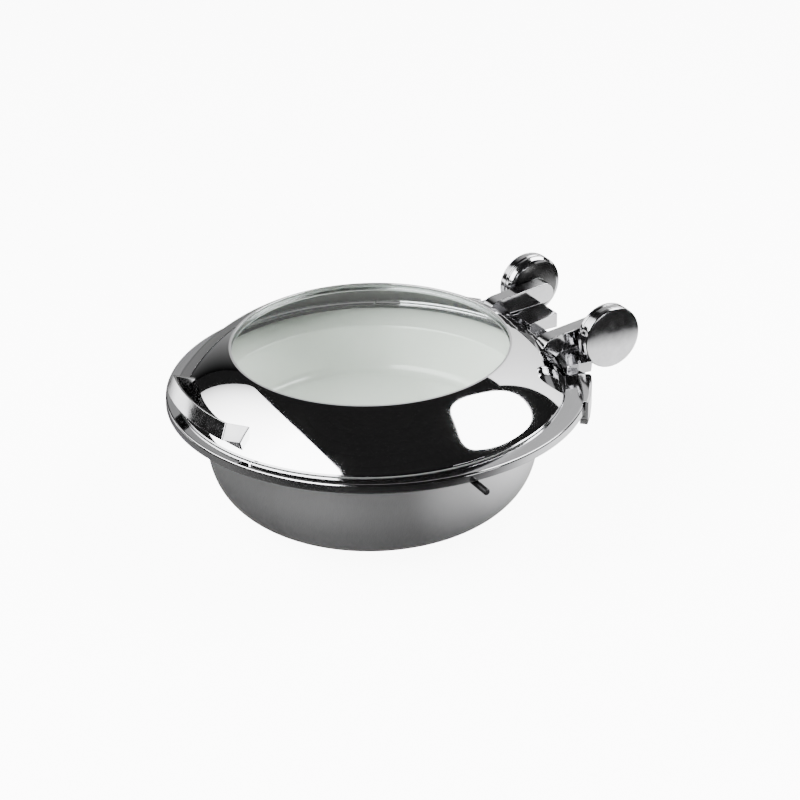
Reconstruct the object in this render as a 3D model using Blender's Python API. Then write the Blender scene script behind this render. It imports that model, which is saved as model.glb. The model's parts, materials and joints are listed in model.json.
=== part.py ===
"""Roll top chafer: round water pan with a rim ring, food pan, hinged lid with a glass window.

Frame: origin at the centre of the flat base, +Z up, -Y front (handle), +Y back (hinge).
Units: metres.
"""
import math

import bmesh
import bpy
from mathutils import Matrix, Vector

MM = 0.001
GAP = 0.3 * MM              # clearance between neighbouring pieces
ROUND = 48                  # sides of the large turned pieces
SMALL_ROUND = 32            # sides of the hinge drums and other small turned pieces

# Heights
FLANGE_TOP = 137.0 * MM     # flat top of the rim ring, where the lid rests
LIP_BOTTOM = 127.2 * MM     # lower edge of the rim ring's rolled lip
PAN_LIP_TOP = 128.0 * MM    # top of the water pan's own narrow lip
WINDOW_TOP = FLANGE_TOP + 49.5 * MM

# Water pan
BOWL_RADIUS = 177.0 * MM    # outside, at the mouth
BOWL_FOOT = 66.6 * MM       # the wall's curve would end here at the level of the table
BOWL_FULLNESS = 4.46
BOWL_ROUNDING = 2.01
PAN_WALL = 1.5 * MM
PAN_LIP_RADIUS = 204.0 * MM
BASE_RADIUS = 96.0 * MM
BASE_THICKNESS = 4.5 * MM

# Rim ring, whose outer circle is set back toward the hinge
RIM_RADIUS = 222.0 * MM
RIM_OFFSET = 6.3 * MM
RIM_INNER = 197.0 * MM
RIM_SHEET = 2.0 * MM

# Food pan
FOOD_RIM = 192.0 * MM
FOOD_MOUTH = 166.0 * MM
FOOD_FLOOR = 150.0 * MM
FOOD_DEPTH = 61.0 * MM

# Lid
LID_RADIUS = 204.0 * MM
LID_SHEET = 1.2 * MM
LID_BOTTOM = FLANGE_TOP + 0.6 * MM
SKIRT = 2.4 * MM
WINDOW_RADIUS = 145.0 * MM
WINDOW_LAND = 2.5 * MM      # flat ring of metal over the glass edge
DOME_START = math.radians(52.0)   # slope of the dome above the skirt
GLASS_RADIUS = 148.4 * MM
GLASS_THICKNESS = 4.0 * MM
SEAL_THICKNESS = 1.2 * MM

# Hinge
HINGE_Y = 245.5 * MM
HINGE_Z = FLANGE_TOP + 27.0 * MM
DRUM_RADIUS = 34.3 * MM
DRUM_INNER_X = 64.2 * MM
DRUM_LENGTH = 19.8 * MM
CAP_THICKNESS = 4.4 * MM
AXLE_RADIUS = 5.0 * MM
BUSH_RADIUS = 7.5 * MM
ARM_INNER_X = 46.5 * MM
ARM_OUTER_X = 63.0 * MM
ARM_END_RADIUS = 11.5 * MM
AXLE_START_X = 52.4 * MM    # the axle is set blind into the arm
SEAM = 14.0 * MM            # half of the gap between the two hinge bases
BLOCK_END_X = 93.0 * MM
BLOCK_FRONT = 206.5 * MM    # radius of the block's front face, behind the lid's edge
BLOCK_BACK = 241.0 * MM
BLOCK_FRONT_TOP = FLANGE_TOP + 12.0 * MM
BLOCK_BACK_TOP = FLANGE_TOP + 17.0 * MM
CLAW_FIRST = 46.0           # degrees round the rim from +X
CLAW_LAST = 60.5
CLAW_OUTER = 226.0 * MM
CLAW_BOTTOM = LIP_BOTTOM - 9.0 * MM
SCREW_PLACES = ((22.0 * MM, 216.0 * MM), (70.0 * MM, 206.0 * MM))
SCREW_RADIUS = 2.0 * MM

# Side pegs and stops
PEG_RADIUS = 3.5 * MM
PEG_REACH = 17.0 * MM
PEG_Z = LIP_BOTTOM - 5.0 * MM
STOP_PLACE = (93.0 * MM, -187.0 * MM)
ARM_SCREWS = ((51.0 * MM, 187.5 * MM), (58.5 * MM, 182.0 * MM))
BUMPER_ANGLES = {"front_bumper": -90.0, "left_bumper": 150.0, "right_bumper": 30.0}

# Handle strip
STRIP = 2.8 * MM
STRIP_HEIGHT = 17.6 * MM
CORNER = (62.4 * MM, -197.4 * MM, FLANGE_TOP + 35.4 * MM)
FOOT = (63.9 * MM, -172.7 * MM, FLANGE_TOP + 24.7 * MM)
BOW = 9.0 * MM
STRIP_LEAN = math.radians(25.5)   # the strip leans outward toward its lower edge
STRIP_SPLAY = 0.22                # share of sideways lean at the legs
STUD_RADIUS = 1.3 * MM


def clear_scene():
    for item in list(bpy.data.objects):
        bpy.data.objects.remove(item, do_unlink=True)


def make_look(name, colour, metallic, roughness, alpha=1.0):
    look = bpy.data.materials.new(name)
    look.use_nodes = True
    shader = look.node_tree.nodes["Principled BSDF"]
    shader.inputs["Base Color"].default_value = (*colour, 1.0)
    shader.inputs["Metallic"].default_value = metallic
    shader.inputs["Roughness"].default_value = roughness
    shader.inputs["Alpha"].default_value = alpha
    return look


def add_piece(name, bm, look, parent=None, sharp=35.0):
    """Turn a finished bmesh, in world coordinates, into a named object."""
    bmesh.ops.recalc_face_normals(bm, faces=bm.faces)
    mesh = bpy.data.meshes.new(name)
    bm.to_mesh(mesh)
    bm.free()
    mesh.materials.append(look)
    mesh.shade_smooth()
    mesh.set_sharp_from_angle(angle=math.radians(sharp))
    piece = bpy.data.objects.new(name, mesh)
    bpy.context.collection.objects.link(piece)
    if parent is not None:
        mesh.transform(Matrix.Translation(-parent.location))
        piece.parent = parent
    return piece


def add_pivot(name, location):
    pivot = bpy.data.objects.new(name, None)
    pivot.location = location
    bpy.context.collection.objects.link(pivot)
    return pivot


def turned(outline, sides, closed=True):
    """Spin an outline of (radius, height) points about Z; an open outline ends on the axis."""
    bm = bmesh.new()
    points = [bm.verts.new((radius, 0.0, height)) for radius, height in outline]
    pairs = list(zip(points, points[1:]))
    if closed:
        pairs.append((points[-1], points[0]))
    edges = [bm.edges.new(pair) for pair in pairs]
    bmesh.ops.spin(bm, geom=points + edges, cent=(0, 0, 0), axis=(0, 0, 1),
                   angle=math.tau, steps=sides, use_merge=True, use_duplicate=False)
    bmesh.ops.remove_doubles(bm, verts=bm.verts, dist=1e-6)
    return bm


def ring_of_circles(stations, sides):
    """Join circles of (radius, height, centre_y) into a closed ring of quads."""
    bm = bmesh.new()
    loops = []
    for radius, height, centre_y in stations:
        place = Matrix.Translation((0.0, centre_y, height))
        made = bmesh.ops.create_circle(bm, segments=sides, radius=radius, matrix=place)
        loops.append(made["verts"])
    for first, second in zip(loops, loops[1:] + loops[:1]):
        for side in range(sides):
            after = (side + 1) % sides
            bm.faces.new((first[side], first[after], second[after], second[side]))
    return bm


def along_x(bm, start_x):
    """Lay a piece turned about Z on its side, so that it runs along +X from start_x."""
    bmesh.ops.rotate(bm, verts=bm.verts, cent=(0, 0, 0),
                     matrix=Matrix.Rotation(math.radians(90.0), 3, "Y"))
    bmesh.ops.translate(bm, verts=bm.verts, vec=(start_x, HINGE_Y, HINGE_Z))
    return bm


def mirrored(bm):
    """A copy of a bmesh on the other side of the YZ plane."""
    copy = bm.copy()
    bmesh.ops.scale(copy, vec=(-1.0, 1.0, 1.0), verts=copy.verts)
    bmesh.ops.reverse_faces(copy, faces=copy.faces)
    return copy


def add_pair(name, bm, look, parent=None, sharp=35.0):
    """Add the piece on the +X side as right_NAME and its mirror image as left_NAME."""
    other = mirrored(bm)
    right = add_piece("right_" + name, bm, look, parent, sharp)
    left = add_piece("left_" + name, other, look, parent, sharp)
    return right, left


def extruded(outline, direction):
    """Extrude a closed polygon of 3-D points along a direction."""
    bm = bmesh.new()
    face = bm.faces.new([bm.verts.new(point) for point in outline])
    made = bmesh.ops.extrude_face_region(bm, geom=[face])
    moved = [item for item in made["geom"] if isinstance(item, bmesh.types.BMVert)]
    bmesh.ops.translate(bm, verts=moved, vec=direction)
    return bm


def add_cutter(name, bm):
    """A hidden solid for a Boolean cut."""
    bmesh.ops.recalc_face_normals(bm, faces=bm.faces)
    mesh = bpy.data.meshes.new(name)
    bm.to_mesh(mesh)
    bm.free()
    cutter = bpy.data.objects.new(name, mesh)
    cutter.hide_render = True
    cutter.display_type = "WIRE"
    bpy.context.collection.objects.link(cutter)
    return cutter


def cut(piece, cutter, operation="DIFFERENCE"):
    step = piece.modifiers.new(operation.lower() + "_" + cutter.name, "BOOLEAN")
    step.operation = operation
    step.solver = "EXACT"
    step.object = cutter


def rod(radius, start, end, sides=16):
    """A closed cylinder between two points."""
    start = Vector(start)
    end = Vector(end)
    axis = end - start
    bm = bmesh.new()
    place = Matrix.Translation((start + end) / 2) @ axis.to_track_quat("Z", "Y").to_matrix().to_4x4()
    bmesh.ops.create_cone(bm, cap_ends=True, segments=sides, radius1=radius, radius2=radius,
                          depth=axis.length, matrix=place)
    return bm


def offset_outline(points, distance):
    """Move every point of an open outline to the left of its direction of travel."""
    moved = []
    for index, (radius, height) in enumerate(points):
        before = points[max(index - 1, 0)]
        after = points[min(index + 1, len(points) - 1)]
        run = Vector((after[0] - before[0], after[1] - before[1])).normalized()
        moved.append((radius - run.y * distance, height + run.x * distance))
    return moved


def bowl_radius(height):
    """Outside radius of the water pan's wall at a height above the table."""
    fraction = 1.0 - height / LIP_BOTTOM
    swell = (1.0 - fraction ** BOWL_FULLNESS) ** (1.0 / BOWL_ROUNDING)
    return BOWL_FOOT + (BOWL_RADIUS - BOWL_FOOT) * swell


def bowl_wall():
    """Outside of the wall from the flat floor up to the underside of the lip."""
    floor = BASE_THICKNESS + GAP
    top = PAN_LIP_TOP - PAN_WALL - 2.0 * MM
    steps = 9
    heights = [floor + (top - floor) * (step / steps) ** 2.2 for step in range(steps + 1)]
    return [(bowl_radius(height), height) for height in heights]


def add_base_disc(look):
    outline = [(0.0, 0.0), (BASE_RADIUS - 1.5 * MM, 0.0), (BASE_RADIUS, 1.5 * MM),
               (BASE_RADIUS, BASE_THICKNESS), (0.0, BASE_THICKNESS)]
    return add_piece("induction_base_disc", turned(outline, ROUND, closed=False), look)


def add_water_pan(look):
    wall = bowl_wall()
    inside = offset_outline(wall, PAN_WALL)
    floor = wall[0][1]
    lip_under = PAN_LIP_TOP - PAN_WALL
    outline = [(0.0, floor)] + wall
    outline += [(BOWL_RADIUS + 0.8 * MM, lip_under), (PAN_LIP_RADIUS, lip_under),
                (PAN_LIP_RADIUS, PAN_LIP_TOP), (BOWL_RADIUS + 0.2 * MM, PAN_LIP_TOP)]
    outline += list(reversed(inside[1:]))
    outline += [(inside[0][0], floor + PAN_WALL), (0.0, floor + PAN_WALL)]
    return add_piece("water_pan", turned(outline, ROUND, closed=False), look)


def add_rim_ring(look):
    foot = PAN_LIP_TOP + GAP
    top = FLANGE_TOP
    sheet = RIM_SHEET
    stations = [
        (RIM_INNER, foot, 0.0),
        (RIM_INNER, top - 0.8 * MM, 0.0),
        (RIM_INNER + 0.8 * MM, top, 0.0),
        (RIM_RADIUS - 2.6 * MM, top, RIM_OFFSET),
        (RIM_RADIUS - 1.1 * MM, top - 0.5 * MM, RIM_OFFSET),
        (RIM_RADIUS - 0.4 * MM, top - 1.8 * MM, RIM_OFFSET),
        (RIM_RADIUS, LIP_BOTTOM + 0.6 * MM, RIM_OFFSET),
        (RIM_RADIUS - 0.6 * MM, LIP_BOTTOM, RIM_OFFSET),
        (RIM_RADIUS - sheet, LIP_BOTTOM, RIM_OFFSET),
        (RIM_RADIUS - 1.0 * MM - sheet, top - sheet, RIM_OFFSET),
        (RIM_INNER + sheet, top - sheet, 0.0),
        (RIM_INNER + sheet, foot, 0.0),
    ]
    return add_piece("rim_ring", ring_of_circles(stations, ROUND), look, sharp=30.0)


def add_food_pan(look):
    seat = PAN_LIP_TOP + GAP
    floor = FLANGE_TOP - FOOD_DEPTH
    wall_top = (FOOD_MOUTH, FLANGE_TOP - 11.0 * MM)
    outline = [(0.0, floor - 6.0 * MM), (FOOD_FLOOR - 4.0 * MM, floor - 6.0 * MM)]
    corner = (FOOD_FLOOR - 4.0 * MM, floor + 6.0 * MM)
    for angle in (-60.0, -35.0, -12.0):
        turn = math.radians(angle)
        outline.append((corner[0] + 12.0 * MM * math.cos(turn), corner[1] + 12.0 * MM * math.sin(turn)))
    outline += [
        (wall_top[0] + 7.0 * MM, seat - 2.0 * MM),
        (wall_top[0] + 9.5 * MM, seat),
        (FOOD_RIM - 1.5 * MM, seat),
        (FOOD_RIM, seat + 1.6 * MM),
        (FOOD_RIM, seat + 6.4 * MM),
        (FOOD_RIM - 2.0 * MM, seat + 8.2 * MM),
        (FOOD_RIM - 6.0 * MM, seat + 7.8 * MM),
        (FOOD_RIM - 16.0 * MM, seat + 3.4 * MM),
        (wall_top[0] + 2.5 * MM, wall_top[1] + 1.0 * MM),
        wall_top,
        (wall_top[0] - 1.8 * MM, wall_top[1] - 4.0 * MM),
        (FOOD_FLOOR + 2.5 * MM, floor + 8.0 * MM),
        (FOOD_FLOOR - 1.0 * MM, floor + 2.5 * MM),
        (FOOD_FLOOR - 7.0 * MM, floor),
        (0.0, floor),
    ]
    return add_piece("food_pan", turned(outline, ROUND, closed=False), look, sharp=60.0)


def dome_outline():
    """Outside of the lid: skirt, dome arc and the flat land around the window."""
    start = (LID_RADIUS, LID_BOTTOM + SKIRT)
    end = (WINDOW_RADIUS + WINDOW_LAND, WINDOW_TOP)
    chord = Vector((end[0] - start[0], end[1] - start[1]))
    slope = math.atan2(chord.y, -chord.x)
    steps = 8
    half_turn = DOME_START - slope
    radius = chord.length / (2.0 * math.sin(half_turn))
    points = []
    for step in range(steps + 1):
        angle = half_turn * (2.0 * step / steps - 1.0)
        along = chord.length / 2.0 + radius * math.sin(angle)
        rise = radius * (math.cos(angle) - math.cos(half_turn))
        points.append((start[0] - along * math.cos(slope) + rise * math.sin(slope),
                       start[1] + along * math.sin(slope) + rise * math.cos(slope)))
    return [(LID_RADIUS, LID_BOTTOM)] + points + [(WINDOW_RADIUS, WINDOW_TOP)]


def add_lid_shell(look, pivot):
    outside = dome_outline()
    inside = offset_outline(outside[1:-1], LID_SHEET)
    outline = list(outside)
    outline += [(WINDOW_RADIUS, WINDOW_TOP - LID_SHEET),
                (WINDOW_RADIUS + WINDOW_LAND - 0.4 * MM, WINDOW_TOP - LID_SHEET)]
    outline += list(reversed(inside[1:-1]))
    outline += [(LID_RADIUS - LID_SHEET, LID_BOTTOM + SKIRT - 0.3 * MM),
                (LID_RADIUS - LID_SHEET, LID_BOTTOM)]
    return add_piece("lid_shell", turned(outline, ROUND), look, pivot)


def dome_frame(x, y):
    """The point of the lid's outside above (x, y) and its outward normal."""
    radius = math.hypot(x, y)
    around = Vector((x / radius, y / radius, 0.0))
    points = dome_outline()
    for (r1, z1), (r2, z2) in zip(points, points[1:]):
        if r2 <= radius < r1:
            height = z1 + (z2 - z1) * (r1 - radius) / (r1 - r2)
            normal = around * (z2 - z1) + Vector((0, 0, r1 - r2))
            return Vector((x, y, height)), normal.normalized()
    return Vector((x, y, WINDOW_TOP)), Vector((0, 0, 1))


def dome_block(clearance):
    """A solid with the lid's outside grown by a clearance, for cutting what sits on the lid."""
    outside = dome_outline()
    grown = [(LID_RADIUS + clearance, LID_BOTTOM - 6.0 * MM)]
    grown += offset_outline(outside, -clearance)[1:]
    return turned([(0.0, LID_BOTTOM - 6.0 * MM)] + grown + [(0.0, WINDOW_TOP + clearance)], ROUND,
                  closed=False)


def add_window(glass_look, seal_look, steel_look, pivot):
    seal_top = WINDOW_TOP - LID_SHEET - GAP
    seal_bottom = seal_top - SEAL_THICKNESS
    seal = [(WINDOW_RADIUS + 0.4 * MM, seal_bottom), (GLASS_RADIUS, seal_bottom),
            (WINDOW_RADIUS + 1.9 * MM, seal_top), (WINDOW_RADIUS + 0.4 * MM, seal_top)]
    add_piece("glass_seal", turned(seal, ROUND), seal_look, pivot)
    glass_top = seal_bottom - GAP
    glass_bottom = glass_top - GLASS_THICKNESS
    bevel = 0.6 * MM
    glass = [(0.0, glass_bottom), (GLASS_RADIUS - bevel, glass_bottom),
             (GLASS_RADIUS, glass_bottom + bevel), (GLASS_RADIUS, glass_top - bevel),
             (GLASS_RADIUS - bevel, glass_top), (0.0, glass_top)]
    add_piece("glass_window", turned(glass, ROUND, closed=False), glass_look, pivot)
    ledge = glass_bottom - GAP
    wall = GLASS_RADIUS + 0.6 * MM
    retainer = [(GLASS_RADIUS - 3.2 * MM, ledge - 1.2 * MM), (wall + 1.2 * MM, ledge - 1.2 * MM),
                (wall + 1.2 * MM, glass_top - 0.6 * MM), (wall, glass_top - 0.6 * MM),
                (wall, ledge), (GLASS_RADIUS - 3.2 * MM, ledge)]
    add_piece("glass_retainer", turned(retainer, ROUND), steel_look, pivot)


def strip_top_edge():
    """Upper edge of the handle strip, from the left foot round the bow to the right foot."""
    bow_steps = 8
    half_chord = CORNER[0]
    radius = (half_chord ** 2 + BOW ** 2) / (2.0 * BOW)
    half = math.asin(half_chord / radius)
    points = [(-FOOT[0], FOOT[1], FOOT[2])]
    for step in range(bow_steps + 1):
        angle = half * (2.0 * step / bow_steps - 1.0)
        bulge = radius * (math.cos(angle) - math.cos(half))
        points.append((radius * math.sin(angle), CORNER[1] - bulge, CORNER[2]))
    points.append(FOOT)
    return [Vector(point) for point in points]


def add_handle(look, pivot):
    """A flat strip bent into a bow with two legs; its lower edge leans outward."""
    edge = strip_top_edge()
    edge[0] += (edge[0] - edge[1]) * 0.3
    edge[-1] += (edge[-1] - edge[-2]) * 0.3
    bm = bmesh.new()
    sections = []
    for index, point in enumerate(edge):
        before = edge[max(index - 1, 0)]
        after = edge[min(index + 1, len(edge) - 1)]
        run = (after - before).normalized()
        splay = STRIP_SPLAY * point.x / CORNER[0]
        down = Vector((splay, -math.sin(STRIP_LEAN), -math.cos(STRIP_LEAN))).normalized()
        down = down * STRIP_HEIGHT
        inward = run.cross(down).normalized() * STRIP
        corners = [point, point + down, point + down + inward, point + inward]
        sections.append([bm.verts.new(corner) for corner in corners])
    for first, second in zip(sections, sections[1:]):
        for side in range(4):
            after = (side + 1) % 4
            bm.faces.new((first[side], first[after], second[after], second[side]))
    bm.faces.new(reversed(sections[0]))
    bm.faces.new(sections[-1])
    handle = add_piece("lid_handle", bm, look, pivot, sharp=25.0)
    cut(handle, add_cutter("lid_clearance_for_handle", dome_block(GAP)))
    return handle


def arm_side_outline(x):
    """Side view of a lid arm: a bar from the dome's shoulder to a round end on the hinge axis."""
    top = FLANGE_TOP + 32.0 * MM
    points = [(x, 172.0 * MM, FLANGE_TOP + 20.0 * MM), (x, 177.0 * MM, top - 4.0 * MM),
              (x, 181.0 * MM, top - 1.0 * MM), (x, 187.0 * MM, top + 0.4 * MM)]
    for degrees in range(97, -108, -20):
        angle = math.radians(degrees)
        points.append((x, HINGE_Y + ARM_END_RADIUS * math.cos(angle),
                       HINGE_Z + ARM_END_RADIUS * math.sin(angle)))
    points.append((x, 195.0 * MM, BLOCK_FRONT_TOP + 1.0 * MM))
    points.append((x, 188.0 * MM, BLOCK_FRONT_TOP - 4.0 * MM))
    return points


def add_arms(look, pivot):
    block = extruded(arm_side_outline(ARM_INNER_X), (ARM_OUTER_X - ARM_INNER_X, 0.0, 0.0))
    right, left = add_pair("lid_arm", block, look, pivot, sharp=30.0)
    hole = rod(AXLE_RADIUS + GAP, (AXLE_START_X - GAP, HINGE_Y, HINGE_Z),
               (ARM_OUTER_X + 2.0 * MM, HINGE_Y, HINGE_Z), sides=24)
    hole_mirror = mirrored(hole)
    cut(right, add_cutter("right_arm_axle_hole", hole))
    cut(left, add_cutter("left_arm_axle_hole", hole_mirror))
    dome = add_cutter("lid_clearance_for_arms", dome_block(GAP))
    cut(right, dome)
    cut(left, dome)
    return {"right": right, "left": left}


def add_drums(looks, pivot):
    steel, brass, spring_look, axle_look, washer_look = looks
    length = DRUM_LENGTH
    floor = 5.0 * MM
    bore = DRUM_RADIUS - 4.5 * MM
    groove = 1.2 * MM
    middle = length * 0.5
    drum = [(BUSH_RADIUS + GAP, 0.0), (DRUM_RADIUS - 13.0 * MM, 1.0 * MM),
            (DRUM_RADIUS - 6.5 * MM, 2.2 * MM), (DRUM_RADIUS - 2.5 * MM, 4.0 * MM),
            (DRUM_RADIUS, 7.0 * MM), (DRUM_RADIUS, middle), (DRUM_RADIUS - groove, middle + 0.8 * MM),
            (DRUM_RADIUS - groove, middle + 2.0 * MM), (DRUM_RADIUS, middle + 2.8 * MM),
            (DRUM_RADIUS, length), (bore, length), (bore, floor), (BUSH_RADIUS + GAP, floor)]
    add_pair("hinge_drum", along_x(turned(drum, SMALL_ROUND), DRUM_INNER_X), steel)
    rim = DRUM_RADIUS - 0.2 * MM
    cap = [(0.0, 0.0), (rim, 0.0), (rim, CAP_THICKNESS - 3.0 * MM),
           (rim - 1.4 * MM, CAP_THICKNESS - 1.9 * MM), (rim * 0.85, CAP_THICKNESS - 1.2 * MM),
           (rim * 0.6, CAP_THICKNESS - 0.5 * MM), (rim * 0.3, CAP_THICKNESS - 0.1 * MM),
           (0.0, CAP_THICKNESS)]
    cap_start = DRUM_INNER_X + length + GAP
    add_pair("drum_cap", along_x(turned(cap, SMALL_ROUND, closed=False), cap_start), steel)
    flange = floor + 1.8 * MM
    bush = [(AXLE_RADIUS + GAP, 0.2 * MM), (BUSH_RADIUS, 0.2 * MM), (BUSH_RADIUS, floor + GAP),
            (BUSH_RADIUS + 2.0 * MM, floor + GAP), (BUSH_RADIUS + 2.0 * MM, flange),
            (AXLE_RADIUS + GAP, flange)]
    add_pair("axle_bush", along_x(turned(bush, 16), DRUM_INNER_X), brass)
    washer_start = ARM_OUTER_X + GAP
    thickness = DRUM_INNER_X - GAP - washer_start
    washer = [(AXLE_RADIUS + GAP, 0.0), (12.0 * MM, 0.0), (12.0 * MM, thickness),
              (AXLE_RADIUS + GAP, thickness)]
    add_pair("brake_washer", along_x(turned(washer, 16), washer_start), washer_look)
    axle = rod(AXLE_RADIUS, (AXLE_START_X, HINGE_Y, HINGE_Z),
               (DRUM_INNER_X + length - 1.5 * MM, HINGE_Y, HINGE_Z), sides=20)
    add_pair("hinge_axle", axle, axle_look, pivot)
    add_pair("torsion_spring", spring_coil(), spring_look)


def spring_coil():
    """A wire wound around the axle inside the drum, as a swept round section."""
    wire = 1.3 * MM
    coil = 15.0 * MM
    turns = 3
    per_turn = 12
    sides = 5
    start = DRUM_INNER_X + 8.6 * MM
    pitch = 2.6 * wire
    bm = bmesh.new()
    rings = []
    for index in range(turns * per_turn + 1):
        turn = math.tau * index / per_turn
        outward = Vector((0.0, math.cos(turn), math.sin(turn)))
        centre = Vector((start + pitch * index / per_turn, HINGE_Y, HINGE_Z)) + outward * coil
        ring = []
        for side in range(sides):
            angle = math.tau * side / sides
            round_wire = outward * math.cos(angle) + Vector((1, 0, 0)) * math.sin(angle)
            ring.append(bm.verts.new(centre + round_wire * wire))
        rings.append(ring)
    for first, second in zip(rings, rings[1:]):
        for side in range(sides):
            after = (side + 1) % sides
            bm.faces.new((first[side], second[side], second[after], first[after]))
    bm.faces.new(rings[0])
    bm.faces.new(list(reversed(rings[-1])))
    return bm


def arc_points(radius, centre_y, first, last, steps, height):
    """Points on a circle in plan, between two angles in degrees."""
    points = []
    for step in range(steps + 1):
        angle = math.radians(first + (last - first) * step / steps)
        points.append((radius * math.cos(angle), centre_y + radius * math.sin(angle), height))
    return points


def add_hinge_bases(look):
    """A polished block on the back of the rim under each drum, with a cradle for the drum."""
    low = FLANGE_TOP + GAP
    end_angle = math.degrees(math.acos(BLOCK_END_X / BLOCK_FRONT))
    seam_angle = math.degrees(math.acos(SEAM / BLOCK_FRONT))
    outline = arc_points(BLOCK_FRONT, 0.0, end_angle, seam_angle, 6, low)
    outline += [(SEAM, BLOCK_BACK, low), (60.0 * MM, BLOCK_BACK, low),
                (BLOCK_END_X + 4.0 * MM, 212.0 * MM, low)]
    block = extruded(outline, (0.0, 0.0, BLOCK_BACK_TOP + 6.0 * MM - low))
    right, left = add_pair("hinge_base", block, look, sharp=30.0)
    saddle = rod(DRUM_RADIUS + GAP, (DRUM_INNER_X - 1.2 * MM, HINGE_Y, HINGE_Z),
                 (DRUM_INNER_X + 50.0 * MM, HINGE_Y, HINGE_Z), sides=SMALL_ROUND)
    slope_top = [(-2.0 * MM, 170.0 * MM, BLOCK_FRONT_TOP),
                 (-2.0 * MM, BLOCK_FRONT, BLOCK_FRONT_TOP),
                 (-2.0 * MM, BLOCK_BACK + 1.0 * MM, BLOCK_BACK_TOP),
                 (-2.0 * MM, BLOCK_BACK + 1.0 * MM, BLOCK_BACK_TOP + 20.0 * MM),
                 (-2.0 * MM, 170.0 * MM, BLOCK_BACK_TOP + 20.0 * MM)]
    above = extruded(slope_top, (120.0 * MM, 0.0, 0.0))
    level = BLOCK_FRONT_TOP
    step = ARM_INNER_X - 1.5 * MM
    flat_top = [(step, 170.0 * MM, level), (step, 260.0 * MM, level),
                (step, 260.0 * MM, level + 30.0 * MM), (step, 170.0 * MM, level + 30.0 * MM)]
    beside = extruded(flat_top, (80.0 * MM, 0.0, 0.0))
    for name, cutter in (("saddle", saddle), ("base_top", above), ("arm_channel", beside)):
        other = mirrored(cutter)
        cut(right, add_cutter("right_" + name, cutter))
        cut(left, add_cutter("left_" + name, other))
    return {"right": right, "left": left}


def add_backing_plates(look):
    """A plate under the rim's sheet that the hinge screws pull up against it."""
    low = FLANGE_TOP - RIM_SHEET - 3.8 * MM
    outline = arc_points(204.5 * MM, RIM_OFFSET, 67.0, 85.5, 5, low)
    outline += arc_points(215.0 * MM, RIM_OFFSET, 85.5, 67.0, 5, low)
    plate = extruded(outline, (0.0, 0.0, 3.5 * MM))
    right, left = add_pair("backing_plate", plate, look)
    return {"right": right, "left": left}


def add_hinge_screws(look, ring, bases, plates):
    head_top = FLANGE_TOP - RIM_SHEET - 4.1 * MM
    tip = FLANGE_TOP + 7.0 * MM
    screw = [(0.0, head_top - 2.4 * MM), (3.5 * MM, head_top - 2.4 * MM), (3.5 * MM, head_top),
             (SCREW_RADIUS, head_top), (SCREW_RADIUS, tip), (0.0, tip)]
    for number, (x, y) in enumerate(SCREW_PLACES, 1):
        for side, sign in (("right", 1.0), ("left", -1.0)):
            bm = turned(screw, 12, closed=False)
            bmesh.ops.translate(bm, verts=bm.verts, vec=(sign * x, y, 0.0))
            add_piece("%s_hinge_screw_%d" % (side, number), bm, look)
            hole = rod(SCREW_RADIUS + GAP, (sign * x, y, head_top - 1.0 * MM),
                       (sign * x, y, tip + 1.0 * MM), sides=12)
            cutter = add_cutter("%s_screw_hole_%d" % (side, number), hole)
            for piece in (ring, bases[side], plates[side]):
                cut(piece, cutter)


def add_claws(look, pad_look):
    """A clamp over the rim's edge beside each hinge base, with a finger that tapers away."""
    steps = 6
    top = FLANGE_TOP + GAP
    outer = CLAW_OUTER
    inner = RIM_RADIUS + 0.4 * MM
    bm = bmesh.new()
    sections = []
    for step in range(steps + 1):
        share = step / steps
        angle = math.radians(CLAW_FIRST + (CLAW_LAST - CLAW_FIRST) * share)
        finger = inner - 2.0 * MM - 11.0 * MM * share
        rise = (2.0 + 4.0 * share) * MM
        outline = [(finger, top), (finger, top + rise * 0.6), (finger + 2.0 * MM * share, top + rise),
                   (outer - 2.0 * MM, top + rise), (outer, top + rise - 2.0 * MM),
                   (outer, CLAW_BOTTOM), (inner - 9.0 * MM, CLAW_BOTTOM),
                   (inner - 9.0 * MM, CLAW_BOTTOM + 3.0 * MM), (inner, CLAW_BOTTOM + 3.0 * MM),
                   (inner, top)]
        sections.append([bm.verts.new((radius * math.cos(angle),
                                       RIM_OFFSET + radius * math.sin(angle), height))
                         for radius, height in outline])
    for first, second in zip(sections, sections[1:]):
        count = len(first)
        for side in range(count):
            after = (side + 1) % count
            bm.faces.new((first[side], first[after], second[after], second[side]))
    bm.faces.new(sections[0])
    bm.faces.new(list(reversed(sections[-1])))
    add_pair("rim_claw", bm, look, sharp=30.0)
    low = CLAW_BOTTOM - 6.0 * MM
    outline = arc_points(outer - 9.0 * MM, RIM_OFFSET, CLAW_FIRST, CLAW_LAST - 6.0, 3, low)
    outline += arc_points(outer - 0.5 * MM, RIM_OFFSET, CLAW_LAST - 6.0, CLAW_FIRST, 3, low)
    pad = extruded(outline, (0.0, 0.0, 6.0 * MM - GAP))
    add_pair("claw_pad", pad, pad_look)


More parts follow.
